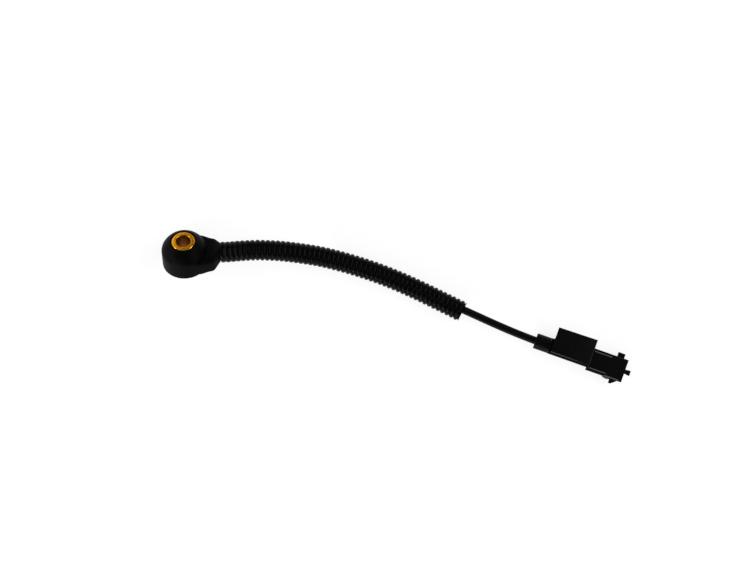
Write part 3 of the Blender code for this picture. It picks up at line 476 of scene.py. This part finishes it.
def round_bar(name, start, stop, radius):
    """A round bar along the neck's line."""
    work = bmesh.new()
    turns = [2 * math.pi * i / BAR_SIDES for i in range(BAR_SIDES)]
    circle = [(radius * math.cos(t), NECK_AXIS_HEIGHT + radius * math.sin(t)) for t in turns]
    add_skin(work, [along_x(x, circle) for x in (start, stop)])
    return helper(name, work)


def box_between(name, low, high):
    """A plain block between two corners."""
    work = bmesh.new()
    bmesh.ops.create_cube(work, size=1.0)
    low, high = Vector(low), Vector(high)
    for vert in work.verts:
        for k in range(3):
            vert.co[k] = (low[k] + high[k]) / 2 + vert.co[k] * (high[k] - low[k])
    return helper(name, work)


# inside it are the room for the foot, the stack and the bush, the contacts' room and a cable hole
bush_hole = BUSH_RADIUS + RUNNING_GAP
foot_hole = FOOT_RADIUS + RUNNING_GAP
inner_radius = BODY_RADIUS - BODY_WALL
hollow = [(AXIS_GAP, -OVERCUT), (foot_hole, -OVERCUT), (foot_hole, FOOT_HEIGHT)]
hollow += [(inner_radius, FOOT_HEIGHT)]
hollow += dome_section(
    (inner_radius, SHOULDER_HEIGHT - BODY_WALL / 2),
    (bush_hole, COLLAR_HEIGHT - BODY_WALL),
    HOLLOW_STEPS,
)
hollow += [(bush_hole, COLLAR_HEIGHT + OVERCUT), (AXIS_GAP, COLLAR_HEIGHT + OVERCUT)]
work = bmesh.new()
add_skin(work, turned_rings(hollow, TURNED_SIDES))
carve(
    casing,
    (
        ("UNION", neck),
        ("UNION", round_bar("spigot", NECK_END - OVERCUT, SPIGOT_END, SPIGOT_RADIUS)),
        ("DIFFERENCE", helper("hollow", work)),
        ("DIFFERENCE", box_between("contact_room", *CONTACT_ROOM)),
        ("DIFFERENCE", round_bar("cable_hole", *CABLE_HOLE, CABLE_RADIUS + RUNNING_GAP)),
    ),
)
casing.data.shade_smooth()
casing.data.set_sharp_from_angle(angle=CASING_SHARP)
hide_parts("head_housing")


# ## Sensing stack
# Rings clamped on the bush's foot by a ring nut: insulators, two brass contacts, the ceramic that
# makes the signal, a heavy steel ring and a disc spring. A small resistor bridges the contacts.

steel = surface_finish(
    "turned_steel", (0.42, 0.43, 0.45), (0.56, 0.57, 0.59), 1.5 * MM, (0.25, 0.4), 0.15 * MM,
    0.01 * MM, metallic=1.0,
)
brass = surface_finish(
    "contact_brass", (0.72, 0.5, 0.2), (0.85, 0.64, 0.3), 1.8 * MM, (0.22, 0.38), 0.15 * MM,
    0.008 * MM, metallic=1.0,
)
film = surface_finish(
    "insulating_film", (0.55, 0.36, 0.12), (0.68, 0.48, 0.2), 2 * MM, (0.4, 0.55), 0.3 * MM,
    0.01 * MM,
)
ceramic = surface_finish(
    "fired_ceramic", (0.5, 0.47, 0.4), (0.62, 0.59, 0.52), 1.2 * MM, (0.55, 0.75), 0.12 * MM,
    0.02 * MM,
)
resistor_coat = surface_finish(
    "resistor_coat", (0.12, 0.3, 0.42), (0.2, 0.4, 0.52), 0.8 * MM, (0.35, 0.5), 0.2 * MM,
    0.01 * MM,
)


def finish_node(name, material):
    """Gives one of the solids its finish."""
    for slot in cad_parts[name].material_slots:
        slot.material = material


for name in ("seismic_mass", "disc_spring", "clamp_nut"):
    finish_node(name, steel)
for name in ("lower_contact", "upper_contact"):
    finish_node(name, brass)
for name in ("lower_insulator", "upper_insulator", "insulating_sleeve"):
    finish_node(name, film)
finish_node("piezo_ring", ceramic)
finish_node("bleed_resistor", resistor_coat)


# ## Cores
# The cable's two stranded copper cores, each in its own thin coloured insulation. They run from
# the cable's end to the contact tabs in the head, and into the crimped pins in the connector.

core_red = surface_finish(
    "red_insulation", (0.38, 0.015, 0.01), (0.5, 0.03, 0.02), 1.5 * MM, (0.3, 0.45), 0.2 * MM,
    0.006 * MM,
)
core_white = surface_finish(
    "white_insulation", (0.62, 0.62, 0.58), (0.74, 0.73, 0.69), 1.5 * MM, (0.3, 0.45), 0.2 * MM,
    0.006 * MM,
)
for place in ("head", "connector"):
    finish_node(place + "_core_wire_1", core_red)
    finish_node(place + "_core_wire_2", core_white)


# ## Conduit
# A black nylon corrugated tube that guards the cable from heat and rubbing. It is pushed over the
# head's spigot, and its rounded ribs let it bend. Its far end is simply cut square.

CONDUIT_RADIUS = 5.95 * MM
CONDUIT_VALLEY = 5.12 * MM
CONDUIT_BORE = 4.7 * MM
RIB_PITCH = 2.808 * MM
FIRST_RIB = -0.3 * MM
RIB_SHAPE = (
    # one groove and rib: share of the pitch, share of the rib's height
    (0.0, 0.0), (0.05, 0.05), (0.1, 0.27), (0.15, 0.54), (0.2, 0.73), (0.27, 0.87), (0.36, 0.96),
    (0.45, 1.0), (0.55, 1.0), (0.64, 0.96), (0.73, 0.87), (0.8, 0.73), (0.85, 0.54), (0.9, 0.27),
    (0.95, 0.05),
)
SHALLOW_RIBS = 3
GROWING_RIBS = 4
SHALLOW_SHARE = 0.5
TUBE_SIDES = 40
BORE_STEPS = 60
SPIGOT_SHIFT = 0.2 * MM
CONDUIT_ROUTE = (
    # x, y and height above the surface, in millimetres, along the tube's middle
    (31.0, 5.95, 17.0),
    (36.5, 6.27, 16.95),
    (42.4, 6.4, 16.7),
    (53.7, 5.9, 14.9),
    (65.1, 4.6, 12.2),
    (76.5, 2.75, 9.6),
    (87.8, 0.05, 7.4),
    (99.2, -3.3, 6.25),
    (110.6, -7.2, 5.95),
    (121.9, -11.75, 5.95),
    (133.3, -16.9, 5.95),
    (144.7, -22.45, 5.95),
    (153.2, -26.65, 5.95),
    (157.3, -28.7, 5.95),
)

conduit_plastic = surface_finish(
    "conduit_nylon", (0.0009, 0.0009, 0.0011), (0.0015, 0.0016, 0.0019), 5 * MM, (0.14, 0.22),
    0.3 * MM, 0.01 * MM, specular=0.065,
)


def smooth_line(points, steps=24):
    """A smooth curve through points, as many short straight steps."""
    points = [Vector(p) for p in points]
    ends = [points[0] * 2 - points[1], *points, points[-1] * 2 - points[-2]]
    line = [points[0]]
    for a, b, c, d in zip(ends, ends[1:], ends[2:], ends[3:]):
        for i in range(1, steps + 1):
            t = i / steps
            bend = 2 * b + (c - a) * t + (2 * a - 5 * b + 4 * c - d) * t**2
            line.append((bend + (3 * b - a - 3 * c + d) * t**3) * 0.5)
    return line


def measured(line):
    """How far along the line each of its points is."""
    along = [0.0]
    for near, far in zip(line, line[1:]):
        along.append(along[-1] + (far - near).length)
    return along


def places_along(line, wanted, along=None):
    """The points of a line at the given distances along it, which must rise."""
    along = along or measured(line)
    found, k = [], 0
    for distance in wanted:
        while k < len(along) - 2 and along[k + 1] < distance:
            k += 1
        share = (distance - along[k]) / (along[k + 1] - along[k])
        found.append(line[k].lerp(line[k + 1], min(max(share, 0.0), 1.0)))
    return found


def swept_rings(line, radii, sides):
    """Rings of points square to a line, each with its own radius."""
    rings = []
    turns = [2 * math.pi * k / sides for k in range(sides)]
    across = Vector((0, 0, 1))
    for i, (place, radius) in enumerate(zip(line, radii)):
        ahead = (line[min(i + 1, len(line) - 1)] - line[max(i - 1, 0)]).normalized()
        across = (across - ahead * across.dot(ahead)).normalized()
        other = ahead.cross(across)
        circle = [across * math.cos(t) + other * math.sin(t) for t in turns]
        rings.append([place + radius * spoke for spoke in circle])
    return rings


def neck_point(distance):
    """A point of the neck's line."""
    return head_place @ Vector((distance, 0, NECK_AXIS_HEIGHT))


def lying(route):
    """Points given in millimetres, with heights above the surface, in metres."""
    return [Vector((x * MM, y * MM, SURFACE_HEIGHT + h * MM)) for x, y, h in route]


conduit_points = [neck_point(NECK_END + RUNNING_GAP)]
conduit_points.append(neck_point(SPIGOT_END) + Vector((0, SPIGOT_SHIFT, 0)))
conduit_points += lying(CONDUIT_ROUTE)
conduit_line = smooth_line(conduit_points)
# the ribs keep their pitch as seen from above, and the first ones, over the spigot, are shallow
seen = measured([Vector((point.x, point.y, 0)) for point in conduit_line])
distances, radii = [], []
for rib in range(math.ceil((seen[-1] - FIRST_RIB) / RIB_PITCH)):
    growth = min(max((rib - SHALLOW_RIBS) / GROWING_RIBS, 0), 1)
    depth = CONDUIT_RADIUS - CONDUIT_VALLEY
    depth *= SHALLOW_SHARE + (1 - SHALLOW_SHARE) * growth
    for share, rise in RIB_SHAPE:
        distance = FIRST_RIB + (rib + share) * RIB_PITCH
        if 0 < distance < seen[-1]:
            distances.append(distance)
            radii.append(CONDUIT_RADIUS - depth * (1 - rise))
distances = [0.0, *distances, seen[-1]]
radii = [radii[0], *radii, radii[-1]]
outer = swept_rings(places_along(conduit_line, distances, seen), radii, TUBE_SIDES)
steps = [seen[-1] * i / BORE_STEPS for i in range(BORE_STEPS + 1)]
inner_line = places_along(conduit_line, steps, seen)
inner = swept_rings(inner_line, [CONDUIT_BORE] * len(steps), TUBE_SIDES)
work = bmesh.new()
add_skin(work, outer + inner[::-1], looped=True)
tube = piece("corrugated_tube", work, Matrix.Identity(4), conduit_plastic, sharp=70)
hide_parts("conduit")


# ## Cable
# A round two-core cable in a smooth black rubbery jacket, 4.4 mm thick. It starts in the head's
# neck, runs loose in the conduit, and goes bare for the last stretch into the connector's seal.

BARE_ROUTE = (
    # x, y and height above the surface, in millimetres
    (165.0, -30.75, 5.0),
    (173.6, -34.65, 4.9),
    (183.9, -39.15, 5.0),
    (191.4, -42.2, 5.15),
)
CABLE_SIDE = 1.3 * MM
CABLE_DROP = 0.5 * MM
CABLE_START = 15.7 * MM
CABLE_KNOTS = 78
CABLE_IN_CONNECTOR = (0.0, 8.4, 16.4)
CONNECTOR_PLACE = Vector((198.7 * MM, -45.0 * MM, SURFACE_HEIGHT + 5.2 * MM))
CONNECTOR_TURN = math.radians(-19.5)
connector_place = Matrix.Translation(CONNECTOR_PLACE) @ Matrix.Rotation(CONNECTOR_TURN, 4, "Z")

jacket = surface_finish(
    "cable_jacket", (0.0009, 0.0009, 0.001), (0.0016, 0.0016, 0.0017), 6 * MM, (0.32, 0.44),
    0.25 * MM, 0.006 * MM, specular=0.07,
)

# in the conduit it drifts to one side and sags, more and more towards the conduit's open end
cable_points = [neck_point(CABLE_START)]
last = len(conduit_points) - 1
for i, point in enumerate(conduit_points):
    share = (i / last) ** 2
    ahead = conduit_points[min(i + 1, last)] - conduit_points[max(i - 1, 0)]
    side = Vector((-ahead.y, ahead.x, 0)).normalized()
    cable_points.append(point + side * CABLE_SIDE * share - Vector((0, 0, CABLE_DROP * share)))
cable_points += lying(BARE_ROUTE)
cable_points += [connector_place @ Vector((x * MM, 0, 0)) for x in CABLE_IN_CONNECTOR]
cable_line = smooth_line(cable_points)
cable_length = measured(cable_line)[-1]
curve = bpy.data.curves.new("two_core_cable", "CURVE")
curve.dimensions = "3D"
curve.bevel_depth = CABLE_RADIUS
curve.bevel_resolution = 8
curve.use_fill_caps = True
spline = curve.splines.new("POLY")
steps = [cable_length * i / (CABLE_KNOTS - 1) for i in range(CABLE_KNOTS)]
spline.points.add(CABLE_KNOTS - 1)
for knot, point in zip(spline.points, places_along(cable_line, steps)):
    knot.co = (*point, 1.0)
spline.use_smooth = True
curve.materials.append(jacket)
cable = bpy.data.objects.new("two_core_cable", curve)
bpy.context.scene.collection.objects.link(cable)
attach(cable, "root")
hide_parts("cable")


# ## Connector housing
# One black nylon moulding: the body, the shroud with its mouth, the flat pocket that a panel clip
# slides into, and the locks for the mating plug. Its moulded edges are slightly rounded.

# In millimetres. A RUN is distances along the connector's axis from its rear, a SPAN goes across
# it, and a HALF goes up and down from it.
BODY_HALF = 4.7
BODY_SPAN = (-4.6, 5.2)
BODY_RUN = (10.25, 34.0)
BODY_CORNER = 0.6
REAR_HALF = 4.85
REAR_SPAN = (-4.6, 4.65)
REAR_RUN = (8.7, 10.0)
REAR_CORNER = 0.8
SEAL_ROOM_RADIUS = 3.5
SEAL_ROOM_RUN = (8.7, 18.6)
RIDGE_LOW = (-6.3, -5.1)
RIDGE_HIGH = (7.3, 5.7)
RIDGE_CORNER = 1.4
RIDGE_RUN = ((32.2, 0.15), (32.35, 0.0), (33.0, 0.0), (33.5, 0.24))  # with how far it is set in
SHROUD_HALF = 5.2
SHROUD_SPAN = (-6.2, 7.2)
SHROUD_WALL = 1.2
SHROUD_RUN = (32.7, 53.8)
SHROUD_CORNER = 0.8
SOCKET_RUN = (53.8, 35.6)
SOCKET_CORNER = 0.4
CORNER_STEPS = 6
CLIP_EDGE = -3.3
CLIP_STEP = -2.72
CLIP_STEP_DEPTH = 0.43
CLIP_FLOOR = 4.1
CLIP_TOP = 8.5
CLIP_CORNER = 0.3
CLIP_FAR_CORNER = 0.45
CLIP_STEP_CORNER = 0.1
CLIP_RUN = ((33.5, 12.15, 0.15), (33.2, 12.14, 0.0), (10.3, 11.7, 0.0))  # far side, face's fall
CLIP_SLOT = ((-1.6, 5.5), (10.0, 5.5), (10.0, 7.7), (0.0, 7.7), (-1.6, 7.3))
CLIP_SLOT_RUN = (10.3, 31.2)
RAIL = ((-0.5, 4.2), (0.45, 4.2), (0.45, 5.3), (0.35, 5.62), (0.1, 5.65), (-0.5, 5.2))
RAIL_RUNS = ((34.0, 44.4, 5.85), (34.0, 44.4, -4.1), (43.2, 52.0, -5.3))  # start, stop, middle
HEEL = ((-5.0, -1.5), (-5.0, 4.4), (-6.9, 2.9), (-6.9, -1.5))
HEEL_RUN = (42.6, 46.4)
NUB = ((46.8, 6.6, -2.2), (51.0, 9.75, 2.2))
LOCK_RAMP = (
    (42.4, -5.6), (51.4, -5.6), (51.4, -6.2), (48.2, -8.8), (46.8, -8.8), (46.8, -6.7),
    (44.5, -7.2), (42.4, -6.2),
)
LOCK_HALF = 2.2
TONGUE = ((52.8, -1.0, 4.1), (56.0, 1.6, 5.1))
TONGUE_TIP = ((55.1, -1.2, 4.0), (57.0, 1.8, 5.2))
EDGE_ROUNDING = 0.22 * MM
EDGE_ANGLE = math.radians(38)

connector_plastic = surface_finish(
    "connector_nylon", (0.001, 0.001, 0.0011), (0.0018, 0.0018, 0.0019), 3.5 * MM, (0.18, 0.26),
    0.2 * MM, 0.006 * MM, specular=0.14,
)


def in_metres(points):
    """Points given in millimetres, in metres."""
    return [tuple(value * MM for value in point) for point in points]


def frame_outline(span, half, corner, inset=0.0):
    """A rounded outline across the connector, its sides set in by a little, in metres."""
    low = (span[0] * MM + inset * MM, -half * MM + inset * MM)
    high = (span[1] * MM - inset * MM, half * MM - inset * MM)
    return rounded_outline(low, high, corner * MM, CORNER_STEPS)


def extruded(outline, run):
    """Rings of one outline at each distance of a run, which is in millimetres."""
    return [along_x(x * MM, outline) for x in run]


def turned_ring(distance, radius, count):
    """A circle square to the connector's axis, whose points pair with a rounded outline's."""
    turns = [2 * math.pi * (i + 0.5) / count for i in range(count)]
    return [Vector((distance, radius * math.cos(t), radius * math.sin(t))) for t in turns]


def block_between(work, low, high):
    """Adds a plain block to a mesh in the making."""
    low, high = in_metres((low, high))
    corners = [(low[1], low[2]), (high[1], low[2]), (high[1], high[2]), (low[1], high[2])]
    add_skin(work, [along_x(x, corners) for x in (low[0], high[0])])


# the body, from the seal's room at its rear to the shroud's root
work = bmesh.new()
body = frame_outline(BODY_SPAN, BODY_HALF, BODY_CORNER)
rear = frame_outline(REAR_SPAN, REAR_HALF, REAR_CORNER)
seal_room = [turned_ring(x * MM, SEAL_ROOM_RADIUS * MM, len(body)) for x in SEAL_ROOM_RUN]
add_skin(work, seal_room[::-1] + extruded(rear, REAR_RUN) + extruded(body, BODY_RUN))

# the ridge before the shroud, then the shroud with its socket
rings = []
for x, inset in RIDGE_RUN:
    low, high = [value + inset for value in RIDGE_LOW], [value - inset for value in RIDGE_HIGH]
    ridge = rounded_outline(low, high, RIDGE_CORNER - inset, CORNER_STEPS)
    rings.append(along_x(x * MM, in_metres(ridge)))
add_skin(work, rings)
shroud = frame_outline(SHROUD_SPAN, SHROUD_HALF, SHROUD_CORNER)
socket = frame_outline(SHROUD_SPAN, SHROUD_HALF, SOCKET_CORNER, SHROUD_WALL)
add_skin(work, extruded(shroud, SHROUD_RUN) + extruded(socket, SOCKET_RUN))

# the clip pocket, open at its front, with a step along its long edge
rings = []
for x, top, fall in CLIP_RUN:
    face = CLIP_TOP * MM - fall * MM
    pocket = softened(
        (
            (CLIP_EDGE * MM, CLIP_FLOOR * MM, CLIP_CORNER * MM),
            (top * MM, CLIP_FLOOR * MM, CLIP_CORNER * MM),
            (top * MM, face, CLIP_FAR_CORNER * MM),
            (CLIP_STEP * MM, face, CLIP_STEP_CORNER * MM),
            (CLIP_EDGE * MM, face - CLIP_STEP_DEPTH * MM, CLIP_STEP_CORNER * MM),
        )
    )
    rings.append(along_x(x * MM, pocket))
slot = softened([(y * MM, z * MM, CLIP_CORNER * MM) for y, z in CLIP_SLOT])
add_skin(work, rings + extruded(slot, CLIP_SLOT_RUN))

# the rails and the locks for the mating plug: heel, nub, ramp with its hook, and tongue
for start, stop, middle in RAIL_RUNS:
    rail = in_metres([(middle + y, z) for y, z in RAIL])
    add_skin(work, extruded(rail, (start, stop)))
add_skin(work, extruded(in_metres(HEEL), HEEL_RUN))
block_between(work, *NUB)
ramp = in_metres(LOCK_RAMP)
add_skin(work, [[Vector((x, y, z * MM)) for x, y in ramp] for z in (-LOCK_HALF, LOCK_HALF)])
block_between(work, *TONGUE)
block_between(work, *TONGUE_TIP)
housing = piece("moulded_connector", work, connector_place, connector_plastic)
edges = housing.modifiers.new("moulded_edges", "BEVEL")
edges.width = EDGE_ROUNDING
edges.segments = 3
edges.limit_method = "ANGLE"
edges.angle_limit = EDGE_ANGLE
edges.harden_normals = True
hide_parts("connector_housing")


# ## Connector's rear cap and seal
# A short black nylon collar, moulded in one piece, is pressed into the connector's rear. It
# squeezes a red rubber ring round the cable, so that water stays out.

CAP_HOLE = 2.5 * MM
CAP_RADIUS = 4.5 * MM
CAP_LENGTH = 8.68 * MM
CAP_STEM_RADIUS = 3.2 * MM
CAP_STEM_END = 11.9 * MM
CAP_SIDES = 64

seal_rubber = surface_finish(
    "seal_rubber", (0.26, 0.035, 0.02), (0.34, 0.05, 0.03), 1.5 * MM, (0.6, 0.75), 0.15 * MM,
    0.01 * MM,
)
finish_node("cable_seal", seal_rubber)
cap_plastic = surface_finish(
    "cap_nylon", (0.001, 0.001, 0.0011), (0.0018, 0.0018, 0.0019), 3 * MM, (0.34, 0.46),
    0.2 * MM, 0.008 * MM, specular=0.07,
)
cap_section = softened(
    (
        (CAP_HOLE, 0.0, 0.2 * MM),
        (CAP_RADIUS, 0.0, 0.5 * MM),
        (CAP_RADIUS, CAP_LENGTH, 0.05 * MM),
        (CAP_STEM_RADIUS, CAP_LENGTH, 0.05 * MM),
        (CAP_STEM_RADIUS, CAP_STEM_END, 0.15 * MM),
        (CAP_HOLE, CAP_STEM_END, 0.1 * MM),
    )
)
work = bmesh.new()
add_skin(work, turned_rings(cap_section, CAP_SIDES), looped=True)
along_connector = connector_place @ Matrix.Rotation(math.radians(90), 4, "Y")
cap = piece("pressed_cap", work, along_connector, cap_plastic)
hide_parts("connector_rear_cap")


# ## Terminals and their lock
# Two tin-plated brass pins, each crimped to a core, stand in the shroud. A pale plate pushed in
# from the mouth holds them.

pin_tin = surface_finish(
    "tin_plating", (0.6, 0.6, 0.58), (0.74, 0.73, 0.7), 0.8 * MM, (0.2, 0.35), 0.1 * MM,
    0.006 * MM, metallic=1.0,
)
lock_plastic = surface_finish(
    "lock_nylon", (0.4, 0.4, 0.37), (0.5, 0.5, 0.46), 2 * MM, (0.45, 0.6), 0.2 * MM, 0.01 * MM,
)
finish_node("terminal_pin_1", pin_tin)
finish_node("terminal_pin_2", pin_tin)
finish_node("terminal_lock", lock_plastic)
